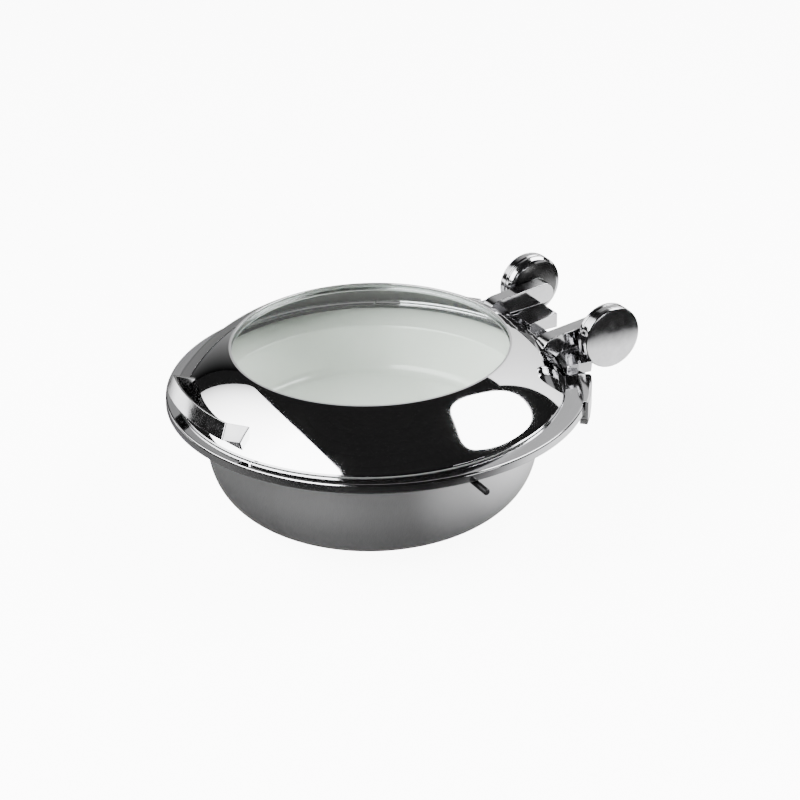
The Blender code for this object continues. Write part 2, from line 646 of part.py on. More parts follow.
def add_pegs_and_stops(dark_look, steel_look):
    start = BOWL_RADIUS + 0.5 * MM
    reach = RIM_RADIUS + PEG_REACH - start
    outline = [(0.0, 0.0), (PEG_RADIUS, 0.0), (PEG_RADIUS, reach - 1.2 * MM),
               (PEG_RADIUS - 1.2 * MM, reach), (0.0, reach)]
    peg = turned(outline, 16, closed=False)
    bmesh.ops.rotate(peg, verts=peg.verts, cent=(0, 0, 0),
                     matrix=Matrix.Rotation(math.radians(90.0), 3, "Y"))
    bmesh.ops.translate(peg, verts=peg.verts, vec=(start, -3.0 * MM, PEG_Z))
    add_pair("side_peg", peg, dark_look)
    low = FLANGE_TOP + GAP
    outline = [(0.0, low), (2.2 * MM, low), (2.2 * MM, low + 1.2 * MM), (1.2 * MM, low + 2.2 * MM),
               (0.0, low + 2.4 * MM)]
    stop = turned(outline, 12, closed=False)
    bmesh.ops.translate(stop, verts=stop.verts, vec=(STOP_PLACE[0], STOP_PLACE[1], 0.0))
    add_pair("rim_stop", stop, steel_look)


def add_bumpers(look, pivot):
    low = FLANGE_TOP + GAP
    outline = [(0.0, low), (1.7 * MM, low), (1.7 * MM, low + 2.2 * MM), (0.0, low + 2.2 * MM)]
    for name, degrees in BUMPER_ANGLES.items():
        angle = math.radians(degrees)
        radius = LID_RADIUS - 3.6 * MM
        bm = turned(outline, 12, closed=False)
        bmesh.ops.translate(bm, verts=bm.verts,
                            vec=(radius * math.cos(angle), radius * math.sin(angle), 0.0))
        add_piece(name, bm, look, pivot)


def fastener(point, normal, shank, head, reach):
    """A fastener through the lid's sheet: its head is inside and it reaches out along the normal."""
    under = -(LID_SHEET + 0.5 * MM)
    outline = [(0.0, under - 1.6 * MM), (head, under - 1.6 * MM), (head, under), (shank, under),
               (shank, reach), (0.0, reach)]
    bm = turned(outline, 12, closed=False)
    place = Matrix.Translation(point) @ normal.to_track_quat("Z", "Y").to_matrix().to_4x4()
    bmesh.ops.transform(bm, matrix=place, verts=bm.verts)
    return bm


def fastener_hole(point, normal, shank, reach):
    return rod(shank + GAP, point - normal * 3.5 * MM, point + normal * reach, sides=12)


def add_lid_fasteners(look, pivot, shell, arms):
    edge = strip_top_edge()
    root = edge[-1] + Vector((4.0 * MM, -7.0 * MM, 0.0))
    point, normal = dome_frame(root.x, root.y)
    stud = fastener(point, normal, STUD_RADIUS, 4.0 * MM, -0.1 * MM)
    add_pair("handle_stud", stud, look, pivot)
    hole = fastener_hole(point, normal, STUD_RADIUS, 1.0 * MM)
    for name, cutter in (("left_stud_hole", mirrored(hole)), ("right_stud_hole", hole)):
        cut(shell, add_cutter(name, cutter))
    for number, (x, y) in enumerate(ARM_SCREWS, 1):
        point, normal = dome_frame(x, y)
        screw = fastener(point, normal, SCREW_RADIUS, 3.6 * MM, 6.0 * MM)
        add_pair("arm_screw_%d" % number, screw, look, pivot)
        hole = fastener_hole(point, normal, SCREW_RADIUS, 7.0 * MM)
        hole_mirror = mirrored(hole)
        for side, cutter in (("left", hole_mirror), ("right", hole)):
            solid = add_cutter("%s_arm_screw_hole_%d" % (side, number), cutter)
            cut(shell, solid)
            cut(arms[side], solid)


def build():
    clear_scene()
    mirror_steel = make_look("mirror_steel", (0.82, 0.82, 0.83), 1.0, 0.08)
    satin_steel = make_look("satin_steel", (0.62, 0.62, 0.63), 1.0, 0.28)
    dark_steel = make_look("dark_steel", (0.10, 0.10, 0.11), 1.0, 0.35)
    porcelain = make_look("porcelain", (0.80, 0.82, 0.78), 0.0, 0.15)
    glass = make_look("glass", (0.80, 0.88, 0.84), 0.0, 0.05, alpha=0.35)
    silicone = make_look("silicone", (0.25, 0.26, 0.26), 0.0, 0.6)
    pad_rubber = make_look("pad_rubber", (0.03, 0.03, 0.03), 0.0, 0.7)
    brass = make_look("brass", (0.70, 0.55, 0.28), 1.0, 0.3)
    spring_steel = make_look("spring_steel", (0.35, 0.35, 0.36), 1.0, 0.3)

    lid_pivot = add_pivot("lid_pivot", (0.0, HINGE_Y, HINGE_Z))
    add_base_disc(dark_steel)
    add_water_pan(satin_steel)
    ring = add_rim_ring(mirror_steel)
    add_food_pan(porcelain)
    shell = add_lid_shell(mirror_steel, lid_pivot)
    add_window(glass, silicone, satin_steel, lid_pivot)
    add_handle(mirror_steel, lid_pivot)
    arms = add_arms(mirror_steel, lid_pivot)
    add_drums((mirror_steel, brass, spring_steel, satin_steel, silicone), lid_pivot)
    bases = add_hinge_bases(mirror_steel)
    plates = add_backing_plates(satin_steel)
    add_hinge_screws(satin_steel, ring, bases, plates)
    add_claws(mirror_steel, pad_rubber)
    add_pegs_and_stops(dark_steel, mirror_steel)
    add_bumpers(silicone, lid_pivot)
    add_lid_fasteners(satin_steel, lid_pivot, shell, arms)


build()
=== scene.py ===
"""Roll top chafer: finished surfaces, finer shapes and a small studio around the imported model.

Frame: origin at the centre of the flat base, +Z up, -Y front (handle), +Y back (hinge).
Units: metres.
"""

import json
import math

import bmesh
import bpy
from mathutils import Matrix, Vector

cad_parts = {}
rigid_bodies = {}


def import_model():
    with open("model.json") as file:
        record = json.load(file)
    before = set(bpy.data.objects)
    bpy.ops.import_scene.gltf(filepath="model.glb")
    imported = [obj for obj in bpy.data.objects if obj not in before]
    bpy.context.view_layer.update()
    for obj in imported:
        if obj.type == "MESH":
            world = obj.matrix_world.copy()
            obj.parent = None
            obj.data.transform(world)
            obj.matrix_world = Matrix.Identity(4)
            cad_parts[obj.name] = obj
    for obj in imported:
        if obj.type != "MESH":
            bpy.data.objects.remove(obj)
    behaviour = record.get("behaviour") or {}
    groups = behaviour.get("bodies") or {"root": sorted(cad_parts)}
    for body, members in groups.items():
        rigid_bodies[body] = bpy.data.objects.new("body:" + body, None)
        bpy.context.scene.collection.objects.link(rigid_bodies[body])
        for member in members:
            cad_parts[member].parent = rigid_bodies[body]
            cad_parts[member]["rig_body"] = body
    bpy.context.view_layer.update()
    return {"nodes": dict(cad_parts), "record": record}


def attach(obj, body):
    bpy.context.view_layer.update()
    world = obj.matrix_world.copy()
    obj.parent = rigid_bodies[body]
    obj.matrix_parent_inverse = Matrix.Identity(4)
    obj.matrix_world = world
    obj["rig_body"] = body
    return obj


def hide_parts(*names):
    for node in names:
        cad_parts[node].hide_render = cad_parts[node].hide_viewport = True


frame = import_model()

MM = 0.001
GAP = 0.3 * MM
ROUND = 288                 # sides of the large turned pieces
SMALL_ROUND = 144           # sides of the hinge drums

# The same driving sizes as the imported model
FLANGE_TOP = 137.0 * MM
LIP_BOTTOM = 127.2 * MM
PAN_LIP_TOP = 128.0 * MM
WINDOW_TOP = FLANGE_TOP + 49.5 * MM
BOWL_RADIUS = 177.0 * MM
BOWL_FOOT = 66.6 * MM
BOWL_FULLNESS = 4.46
BOWL_ROUNDING = 2.01
PAN_WALL = 1.5 * MM
PAN_LIP_RADIUS = 204.0 * MM
BASE_RADIUS = 96.0 * MM
BASE_THICKNESS = 4.5 * MM
RIM_RADIUS = 222.0 * MM
RIM_OFFSET = 6.3 * MM
RIM_INNER = 197.0 * MM
RIM_SHEET = 2.0 * MM
FOOD_RIM = 192.0 * MM
FOOD_MOUTH = 166.0 * MM
FOOD_FLOOR = 150.0 * MM
FOOD_DEPTH = 61.0 * MM
LID_RADIUS = 204.0 * MM
LID_SHEET = 1.2 * MM
LID_BOTTOM = FLANGE_TOP + 0.6 * MM
SKIRT = 2.4 * MM
WINDOW_RADIUS = 145.0 * MM
WINDOW_LAND = 2.5 * MM
DOME_START = math.radians(52.0)
GLASS_RADIUS = 148.4 * MM
GLASS_THICKNESS = 4.0 * MM
SEAL_THICKNESS = 1.2 * MM
HINGE_Y = 245.5 * MM
HINGE_Z = FLANGE_TOP + 27.0 * MM
DRUM_RADIUS = 34.3 * MM
DRUM_INNER_X = 64.2 * MM
DRUM_LENGTH = 19.8 * MM
CAP_THICKNESS = 4.4 * MM
AXLE_RADIUS = 5.0 * MM
BUSH_RADIUS = 7.5 * MM
ARM_INNER_X = 46.5 * MM
ARM_OUTER_X = 63.0 * MM
ARM_END_RADIUS = 11.5 * MM
AXLE_START_X = 52.4 * MM
SEAM = 14.0 * MM
BLOCK_END_X = 93.0 * MM
BLOCK_FRONT = 206.5 * MM
BLOCK_BACK = 241.0 * MM
BLOCK_FRONT_TOP = FLANGE_TOP + 12.0 * MM
BLOCK_BACK_TOP = FLANGE_TOP + 17.0 * MM
CLAW_FIRST = 46.0
CLAW_LAST = 60.5
CLAW_OUTER = 226.0 * MM
CLAW_BOTTOM = LIP_BOTTOM - 9.0 * MM
PEG_RADIUS = 3.5 * MM
PEG_REACH = 17.0 * MM
PEG_Z = LIP_BOTTOM - 5.0 * MM
STRIP = 2.8 * MM
STRIP_HEIGHT = 17.6 * MM
CORNER = (62.4 * MM, -197.4 * MM, FLANGE_TOP + 35.4 * MM)
FOOT = (63.9 * MM, -172.7 * MM, FLANGE_TOP + 24.7 * MM)
BOW = 9.0 * MM
STRIP_LEAN = math.radians(25.5)
STRIP_SPLAY = 0.22
STRIP_BEND = 1.2 * MM
STRIP_NIB = 0.45 * MM       # rounding of the strip's edges

# Strengths of the panels, the floor and the surround
LEFT_LIGHT = 14.0
RIGHT_LIGHT = 14.0
BACK_LIGHT = 2.8
RIGHT_WALL_LIGHT = 0.6
FLOOR_GLOW = 9.0
# Tones of the floor in reflections: a base, and lobes of azimuth, outer and inner half width, strength
FLOOR_NEAR = 0.30
FLOOR_NEAR_LOBES = ((95.0, 75.0, 20.0, 2.4), (35.0, 45.0, 10.0, 0.8), (170.0, 60.0, 20.0, -0.17))
FLOOR_FAR = 0.02
FLOOR_FAR_LOBES = ((160.0, 50.0, 25.0, 0.2),)
FLOOR_HORIZON = (-147.0, 20.0, 12.0, 5.0)
WORLD_LIGHT = 6.0

# Where the camera stands and how it looks
CAMERA_PLACE = (1.9064, -1.0214, 1.2313)
CAMERA_RIGHT = (0.4918, 0.8705, -0.0168)
CAMERA_AHEAD = (-0.7777, 0.4305, -0.4581)
LENS_MM = 103.76
SENSOR_MM = 36.0
AIM_HEIGHT = 0.15           # height of the lid, from which the panels' directions are given
WHITE = (1.0, 1.0, 1.0, 1.0)
BLACK = (0.0, 0.0, 0.0, 1.0)
# Colour mixed into the downward faces of polished steel: painted shade on undersides.
UNDERSIDE_SHADE = (0.30, 0.31, 0.30, 1.0)


# ---------------------------------------------------------------- materials

class Graph:
    """A short way to write node trees."""

    def __init__(self, name):
        self.material = bpy.data.materials.new(name)
        self.material.use_nodes = True
        self.tree = self.material.node_tree
        self.shader = self.tree.nodes["Principled BSDF"]
        self.output = self.tree.nodes["Material Output"]
        self.place = self.node("ShaderNodeTexCoord").outputs["Object"]

    def node(self, kind, **settings):
        made = self.tree.nodes.new(kind)
        for key, value in settings.items():
            setattr(made, key, value)
        return made

    def link(self, source, target):
        self.tree.links.new(source, target)

    def set(self, **values):
        for key, value in values.items():
            self.shader.inputs[key.replace("_", " ")].default_value = value

    def spun(self, fineness):
        """Coordinates that change quickly across spinning marks and slowly along them."""
        parts = self.node("ShaderNodeSeparateXYZ")
        self.link(self.place, parts.inputs[0])
        radius = self.math("SQRT", self.math("ADD", self.math("MULTIPLY", parts.outputs[0], parts.outputs[0]),
                                             self.math("MULTIPLY", parts.outputs[1], parts.outputs[1])))
        turn = self.math("ARCTAN2", parts.outputs[1], parts.outputs[0])
        joined = self.node("ShaderNodeCombineXYZ")
        self.link(self.math("MULTIPLY", radius, fineness), joined.inputs[0])
        self.link(self.math("MULTIPLY", parts.outputs[2], fineness), joined.inputs[1])
        self.link(self.math("MULTIPLY", turn, 2.0), joined.inputs[2])
        return joined.outputs[0]

    def math(self, operation, first, second=None):
        made = self.node("ShaderNodeMath", operation=operation)
        for index, value in enumerate((first, second)):
            if value is None:
                continue
            if isinstance(value, (int, float)):
                made.inputs[index].default_value = value
            else:
                self.link(value, made.inputs[index])
        return made.outputs[0]

    def noise(self, scale, detail=3.0, vector=None, roughness=0.55):
        made = self.node("ShaderNodeTexNoise")
        made.inputs["Scale"].default_value = scale
        made.inputs["Detail"].default_value = detail
        made.inputs["Roughness"].default_value = roughness
        self.link(self.place if vector is None else vector, made.inputs["Vector"])
        return made.outputs["Fac"]

    def spread(self, source, low, high, start=0.35, end=0.65):
        made = self.node("ShaderNodeMapRange")
        made.inputs["From Min"].default_value = start
        made.inputs["From Max"].default_value = end
        made.inputs["To Min"].default_value = low
        made.inputs["To Max"].default_value = high
        self.link(source, made.inputs["Value"])
        return made.outputs["Result"]

    def tones(self, source, dark, light):
        made = self.node("ShaderNodeMix", data_type="RGBA")
        colours = [socket for socket in made.inputs if socket.type == "RGBA"]
        colours[0].default_value = (*dark, 1.0)
        colours[1].default_value = (*light, 1.0)
        self.link(source, made.inputs[0])
        return [socket for socket in made.outputs if socket.type == "RGBA"][0]

    def bump(self, source, strength, depth):
        made = self.node("ShaderNodeBump")
        made.inputs["Strength"].default_value = strength
        made.inputs["Distance"].default_value = depth
        self.link(source, made.inputs["Height"])
        self.link(made.outputs["Normal"], self.shader.inputs["Normal"])


def finish_look(name, dark, light, metallic, rough, patch=14.0, grain=700.0, depth=0.01 * MM,
                strength=0.15, coat=0.0, ior=1.5, spun=0.0, dull_and_shaded_underside=0.0, share=0.3):
    """A surface with uneven tone, smudges in its gloss and a fine grain or spinning marks; downward faces can
    be made rougher and darker, the darker colour being painted shade on undersides.
    """
    graph = Graph(name)
    graph.set(Metallic=metallic, IOR=ior, Coat_Weight=coat, Coat_Roughness=0.05)
    patches = graph.noise(patch, 5.0)
    marks = graph.noise(1.0, 2.0, graph.spun(spun)) if spun else graph.noise(grain, 2.0)
    tone = graph.spread(graph.math("ADD", graph.math("MULTIPLY", patches, 1.0 - share),
                                   graph.math("MULTIPLY", marks, share)), 0.0, 1.0)
    colour = graph.tones(tone, dark, light)
    smudge = graph.math("ADD", graph.math("MULTIPLY", graph.noise(patch * 2.3, 6.0), 1.0 - share),
                        graph.math("MULTIPLY", marks, share))
    gloss = graph.spread(smudge, rough[0], rough[1])
    # Downward faces are rougher, and their colour is darkened: painted shade on undersides.
    if dull_and_shaded_underside:
        facing = graph.node("ShaderNodeSeparateXYZ")
        graph.link(graph.node("ShaderNodeTexCoord").outputs["Normal"], facing.inputs[0])
        gloss = graph.math("ADD", gloss, graph.spread(facing.outputs[2], dull_and_shaded_underside, 0.0, -0.12, -0.04))
        underside_shade = graph.node("ShaderNodeMix", data_type="RGBA")
        graph.link(graph.spread(facing.outputs[2], 1.0, 0.0, -0.12, -0.04), underside_shade.inputs[0])
        graph.link(colour, underside_shade.inputs[6])
        underside_shade.inputs[7].default_value = UNDERSIDE_SHADE
        colour = underside_shade.outputs[2]
    graph.link(colour, graph.shader.inputs["Base Color"])
    graph.link(gloss, graph.shader.inputs["Roughness"])
    graph.bump(marks, strength, depth)
    return graph


def make_looks():
    looks = {}
    looks["mirror_steel"] = finish_look("polished_steel", (0.76, 0.76, 0.77), (0.82, 0.82, 0.83), 1.0,
                                        (0.015, 0.055), patch=9.0, depth=0.002 * MM, strength=0.03,
                                        spun=900.0, dull_and_shaded_underside=0.45)
    looks["rim_steel"] = finish_look("buffed_steel", (0.42, 0.42, 0.43), (0.48, 0.48, 0.49), 1.0,
                                     (0.06, 0.11), patch=9.0, depth=0.002 * MM, strength=0.03,
                                     spun=900.0, dull_and_shaded_underside=0.3)
    looks["cast_steel"] = finish_look("polished_casting", (0.46, 0.46, 0.47), (0.54, 0.54, 0.55), 1.0,
                                      (0.07, 0.14), patch=30.0, grain=120.0, depth=0.02 * MM,
                                      strength=0.03)
    looks["satin_steel"] = finish_look("satin_steel", (0.56, 0.56, 0.57), (0.60, 0.60, 0.61), 1.0,
                                       (0.285, 0.315), patch=5.0, grain=60.0, depth=0.01 * MM,
                                       strength=0.05, share=0.05)
    satin = looks["satin_steel"]
    satin.set(Anisotropic=0.6, Anisotropic_Rotation=0.25)
    tangent = satin.node("ShaderNodeTangent", direction_type="RADIAL", axis="Z")
    satin.link(tangent.outputs[0], satin.shader.inputs["Tangent"])
    # Dark raw steel; the same look paints shade on the handle's inward faces and the drums' inner faces.
    looks["raw_steel"] = finish_look("raw_steel_and_painted_shade", (0.07, 0.07, 0.07), (0.13, 0.13, 0.13), 1.0,
                                     (0.18, 0.3), patch=25.0, grain=700.0, strength=0.15)
    looks["dark_steel"] = finish_look("dark_steel", (0.02, 0.02, 0.022), (0.05, 0.05, 0.05), 1.0,
                                      (0.25, 0.5), patch=25.0, grain=500.0, strength=0.25)
    looks["spring_steel"] = finish_look("spring_steel", (0.22, 0.22, 0.23), (0.38, 0.38, 0.38), 1.0,
                                        (0.25, 0.42), patch=90.0, grain=900.0, strength=0.2)
    looks["brass"] = finish_look("turned_brass", (0.60, 0.44, 0.20), (0.74, 0.58, 0.30), 1.0,
                                 (0.22, 0.4), patch=70.0, grain=900.0, strength=0.2)
    looks["porcelain"] = finish_look("porcelain", (0.81, 0.84, 0.79), (0.85, 0.88, 0.83), 0.0,
                                     (0.10, 0.2), patch=7.0, grain=90.0, depth=0.03 * MM,
                                     strength=0.06, coat=0.6)
    looks["silicone"] = finish_look("silicone", (0.16, 0.17, 0.17), (0.24, 0.25, 0.25), 0.0,
                                    (0.5, 0.7), patch=60.0, grain=1200.0, strength=0.3)
    looks["pad_rubber"] = finish_look("pad_rubber", (0.015, 0.015, 0.015), (0.04, 0.04, 0.04), 0.0,
                                      (0.55, 0.8), patch=60.0, grain=1500.0, strength=0.4)
    looks["glass"] = glass_look()
    return looks


def glass_look():
    """Clear plate glass: light goes straight through it, and its gloss grows toward grazing."""
    graph = Graph("window_glass")
    graph.set(Metallic=1.0)
    smear = graph.noise(22.0, 5.0)
    graph.link(graph.tones(graph.spread(smear, 0.0, 1.0), (0.90, 0.92, 0.91), (0.96, 0.97, 0.96)),
               graph.shader.inputs["Base Color"])
    graph.link(graph.spread(graph.noise(45.0, 6.0), 0.0, 0.025), graph.shader.inputs["Roughness"])
    graph.bump(graph.noise(5.0, 1.0), 0.02, 0.05 * MM)
    clear = graph.node("ShaderNodeBsdfTransparent")
    clear.inputs["Color"].default_value = (0.965, 0.985, 0.972, 1.0)
    gloss = graph.node("ShaderNodeFresnel")
    gloss.inputs["IOR"].default_value = 1.45
    side = graph.node("ShaderNodeNewGeometry")
    outside = graph.math("SUBTRACT", 1.0, side.outputs["Backfacing"])
    mix = graph.node("ShaderNodeMixShader")
    graph.link(graph.math("MULTIPLY", gloss.outputs[0], outside), mix.inputs[0])
    graph.link(clear.outputs[0], mix.inputs[1])
    graph.link(graph.shader.outputs[0], mix.inputs[2])
    graph.link(mix.outputs[0], graph.output.inputs["Surface"])
    return graph


# ---------------------------------------------------------------- mesh tools

def filleted(outline, radius, closed=True, steps=4):
    """Round the corners of an outline of (radius, height) points."""
    points = [Vector(point) for point in outline]
    count = len(points)
    made = []
    for index, point in enumerate(points):
        at_end = not closed and index in (0, count - 1)
        before = points[index - 1] - point
        after = points[(index + 1) % count] - point
        if at_end or before.length < 1e-7 or after.length < 1e-7:
            made.append(tuple(point))
            continue
        angle = before.angle(after)
        if angle > math.radians(165.0):
            made.append(tuple(point))
            continue
        reach = min(radius / math.tan(angle / 2.0), before.length * 0.45, after.length * 0.45)
        start = point + before.normalized() * reach
        end = point + after.normalized() * reach
        for step in range(steps + 1):
            share = step / steps
            spot = start * (1 - share) ** 2 + point * (2 * share * (1 - share)) + end * share ** 2
            made.append(tuple(spot))
    return made


def turned(outline, sides, closed=True):
    """Spin an outline of (radius, height) points about Z; an open outline ends on the axis."""
    bm = bmesh.new()
    points = [bm.verts.new((radius, 0.0, height)) for radius, height in outline]
    pairs = list(zip(points, points[1:]))
    if closed:
        pairs.append((points[-1], points[0]))
    edges = [bm.edges.new(pair) for pair in pairs]
    bmesh.ops.spin(bm, geom=points + edges, cent=(0, 0, 0), axis=(0, 0, 1),
                   angle=math.tau, steps=sides, use_merge=True, use_duplicate=False)
    bmesh.ops.remove_doubles(bm, verts=bm.verts, dist=1e-6)
    return bm


def loft(sections, closed_path=False):
    """Join rings of points, all of one length, into a solid; the ends are capped if it is open."""
    bm = bmesh.new()
    rings = [[bm.verts.new(point) for point in section] for section in sections]
    after_rings = rings[1:] + (rings[:1] if closed_path else [])
    for first, second in zip(rings, after_rings):
        count = len(first)
        for side in range(count):
            after = (side + 1) % count
            bm.faces.new((first[side], first[after], second[after], second[side]))
    if not closed_path:
        bm.faces.new(rings[0])
        bm.faces.new(list(reversed(rings[-1])))
    return bm


def along_x(bm, start_x):
    """Lay a piece turned about Z on its side, so that it runs along +X from start_x."""
    bmesh.ops.rotate(bm, verts=bm.verts, cent=(0, 0, 0),
                     matrix=Matrix.Rotation(math.radians(90.0), 3, "Y"))
    bmesh.ops.translate(bm, verts=bm.verts, vec=(start_x, HINGE_Y, HINGE_Z))
    return bm


def mirrored(bm):
    copy = bm.copy()
    bmesh.ops.scale(copy, vec=(-1.0, 1.0, 1.0), verts=copy.verts)
    bmesh.ops.reverse_faces(copy, faces=copy.faces)
    return copy


def extruded(outline, direction):
    """Extrude a closed polygon of 3-D points along a direction."""
    bm = bmesh.new()
    face = bm.faces.new([bm.verts.new(point) for point in outline])
    made = bmesh.ops.extrude_face_region(bm, geom=[face])
    moved = [item for item in made["geom"] if isinstance(item, bmesh.types.BMVert)]
    bmesh.ops.translate(bm, verts=moved, vec=direction)
    return bm


def rod(radius, start, end, sides=64):
    """A closed cylinder between two points, for cutting holes."""
    start = Vector(start)
    end = Vector(end)
    axis = end - start
    bm = bmesh.new()
    place = Matrix.Translation((start + end) / 2) @ axis.to_track_quat("Z", "Y").to_matrix().to_4x4()
    bmesh.ops.create_cone(bm, cap_ends=True, segments=sides, radius1=radius, radius2=radius,
                          depth=axis.length, matrix=place)
    return bm


def offset_outline(points, distance):
    """Move every point of an open outline to the left of its direction of travel."""
    moved = []
    for index, (radius, height) in enumerate(points):
        before = points[max(index - 1, 0)]
        after = points[min(index + 1, len(points) - 1)]
        run = Vector((after[0] - before[0], after[1] - before[1])).normalized()
        moved.append((radius - run.y * distance, height + run.x * distance))
    return moved


def as_object(name, bm):
    bmesh.ops.recalc_face_normals(bm, faces=bm.faces)
    mesh = bpy.data.meshes.new(name)
    bm.to_mesh(mesh)
    bm.free()
    made = bpy.data.objects.new(name, mesh)
    bpy.context.scene.collection.objects.link(made)
    return made


def cut_away(piece, cutters, bevel=0.0):
    """Cut solids out of a piece, round its edges, and keep the result as its mesh."""
    tools = [as_object("tool_%d" % index, bm) for index, bm in enumerate(cutters)]
    for tool in tools:
        step = piece.modifiers.new("cut", "BOOLEAN")
        step.operation = "DIFFERENCE"
        step.solver = "EXACT"
        step.object = tool
    if bevel:
        edge = piece.modifiers.new("edges", "BEVEL")
        edge.width = bevel
        edge.segments = 3
        edge.limit_method = "ANGLE"
        edge.angle_limit = math.radians(38.0)
        edge.use_clamp_overlap = True
    bpy.context.view_layer.update()
    evaluated = piece.evaluated_get(bpy.context.evaluated_depsgraph_get())
    mesh = bpy.data.meshes.new_from_object(evaluated)
    piece.modifiers.clear()
    piece.data = mesh
    for tool in tools:
        bpy.data.objects.remove(tool, do_unlink=True)


def stand_for(node, piece, look, sharp=50.0):
    """Finish a piece that is shown in place of a CAD node, on the node's own body."""
    piece.data.materials.clear()
    piece.data.materials.append(looks[look].material)
    piece.data.shade_smooth()
    piece.data.set_sharp_from_angle(angle=math.radians(sharp))
    weighted = piece.modifiers.new("flat_faces_stay_flat", "WEIGHTED_NORMAL")
    weighted.keep_sharp = True
    weighted.weight = 50
    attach(piece, frame["nodes"][node]["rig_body"])
    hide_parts(node)
    return piece


def stand_for_pair(node, bm, look, cutters=(), bevel=0.0, sharp=50.0):
    """A piece on the +X side and its mirror image, each in place of its own CAD node."""
    sides = (("right_", bm, list(cutters)), ("left_", mirrored(bm), [mirrored(c) for c in cutters]))
    for side, solid, tools in sides:
        piece = as_object(side + node + "_fine", solid)
        if tools or bevel:
            cut_away(piece, tools, bevel)
        stand_for(side + node, piece, look, sharp)


def paint_shade_on_faces(piece, chosen):
    """Give the chosen faces of a polished piece the dark raw_steel look, as painted shade on them."""
    piece.data.materials.append(looks["raw_steel"].material)
    for face in piece.data.polygons:
        if chosen(face):
            face.material_index = 1


# ---------------------------------------------------------------- the chafer

def bowl_radius(height):
    fraction = 1.0 - height / LIP_BOTTOM
    swell = (1.0 - fraction ** BOWL_FULLNESS) ** (1.0 / BOWL_ROUNDING)
    return BOWL_FOOT + (BOWL_RADIUS - BOWL_FOOT) * swell


def make_pans():
    disc = [(0.0, 0.0), (BASE_RADIUS - 1.5 * MM, 0.0), (BASE_RADIUS, 1.5 * MM),
            (BASE_RADIUS, BASE_THICKNESS), (0.0, BASE_THICKNESS)]
    base = as_object("base_disc_fine", turned(filleted(disc, 0.8 * MM, closed=False), ROUND, closed=False))
    stand_for("induction_base_disc", base, "dark_steel")

    floor = BASE_THICKNESS + GAP
    top = PAN_LIP_TOP - PAN_WALL - 2.0 * MM
    steps = 64
    wall = []
    for step in range(steps + 1):
        height = floor + (top - floor) * (step / steps) ** 2.2
        wall.append((bowl_radius(height), height))
    inside = offset_outline(wall, PAN_WALL)
    under = PAN_LIP_TOP - PAN_WALL
    outline = [(0.0, floor)] + wall
    outline += [(BOWL_RADIUS + 0.8 * MM, under), (PAN_LIP_RADIUS, under),
                (PAN_LIP_RADIUS, PAN_LIP_TOP), (BOWL_RADIUS + 0.2 * MM, PAN_LIP_TOP)]
    outline += list(reversed(inside[1:]))
    outline += [(inside[0][0], floor + PAN_WALL), (0.0, floor + PAN_WALL)]
    bowl = as_object("water_pan_fine",
                     turned(filleted(outline, 0.6 * MM, closed=False), ROUND, closed=False))
    stand_for("water_pan", bowl, "satin_steel")

    make_food_pan()


def make_food_pan():
    seat = PAN_LIP_TOP + GAP
    floor = FLANGE_TOP - FOOD_DEPTH
    wall_top = (FOOD_MOUTH, FLANGE_TOP - 11.0 * MM)
    outside = [(0.0, floor - 6.0 * MM), (FOOD_FLOOR - 4.0 * MM, floor - 6.0 * MM)]
    corner = (FOOD_FLOOR - 4.0 * MM, floor + 6.0 * MM)
    for degrees in range(-80, -11, 8):
        turn = math.radians(degrees)
        outside.append((corner[0] + 12.0 * MM * math.cos(turn), corner[1] + 12.0 * MM * math.sin(turn)))
    outside += [(wall_top[0] + 7.0 * MM, seat - 2.0 * MM), (wall_top[0] + 9.5 * MM, seat),
                (FOOD_RIM - 1.5 * MM, seat), (FOOD_RIM, seat + 1.6 * MM),
                (FOOD_RIM, seat + 6.4 * MM), (FOOD_RIM - 2.0 * MM, seat + 8.2 * MM),
                (FOOD_RIM - 6.0 * MM, seat + 7.8 * MM), (FOOD_RIM - 16.0 * MM, seat + 3.4 * MM),
                (wall_top[0] + 2.5 * MM, wall_top[1] + 1.0 * MM), wall_top,
                (wall_top[0] - 1.8 * MM, wall_top[1] - 4.0 * MM),
                (FOOD_FLOOR + 2.5 * MM, floor + 8.0 * MM), (FOOD_FLOOR - 1.0 * MM, floor + 2.5 * MM),
                (FOOD_FLOOR - 7.0 * MM, floor), (0.0, floor)]
    smooth = filleted(outside, 9.0 * MM, closed=False, steps=5)
    pan = as_object("food_pan_fine", turned(smooth, ROUND, closed=False))
    stand_for("food_pan", pan, "porcelain", sharp=70.0)


def make_rim():
    foot = PAN_LIP_TOP + GAP
    top = FLANGE_TOP
    sheet = RIM_SHEET
    inner = [(RIM_INNER, foot, 0.0), (RIM_INNER, top - 0.8 * MM, 0.0), (RIM_INNER + 0.8 * MM, top, 0.0)]
    outer = [(RIM_RADIUS - 2.6 * MM, top), (RIM_RADIUS - 1.1 * MM, top - 0.5 * MM),
             (RIM_RADIUS - 0.4 * MM, top - 1.8 * MM), (RIM_RADIUS, LIP_BOTTOM + 0.6 * MM),
             (RIM_RADIUS - 0.6 * MM, LIP_BOTTOM), (RIM_RADIUS - sheet, LIP_BOTTOM),
             (RIM_RADIUS - 1.0 * MM - sheet, top - sheet)]
    outer = filleted(outer, 2.0 * MM, closed=False, steps=5)
    stations = inner + [(radius, height, RIM_OFFSET) for radius, height in outer]
    stations += [(RIM_INNER + sheet, top - sheet, 0.0), (RIM_INNER + sheet, foot, 0.0)]
    sections = []
    for radius, height, centre in stations:
        ring = []
        for side in range(ROUND):
            turn = math.tau * side / ROUND
            ring.append((radius * math.cos(turn), centre + radius * math.sin(turn), height))
        sections.append(ring)
    rim = as_object("rim_ring_fine", loft(sections, closed_path=True))
    stand_for("rim_ring", rim, "rim_steel", sharp=60.0)


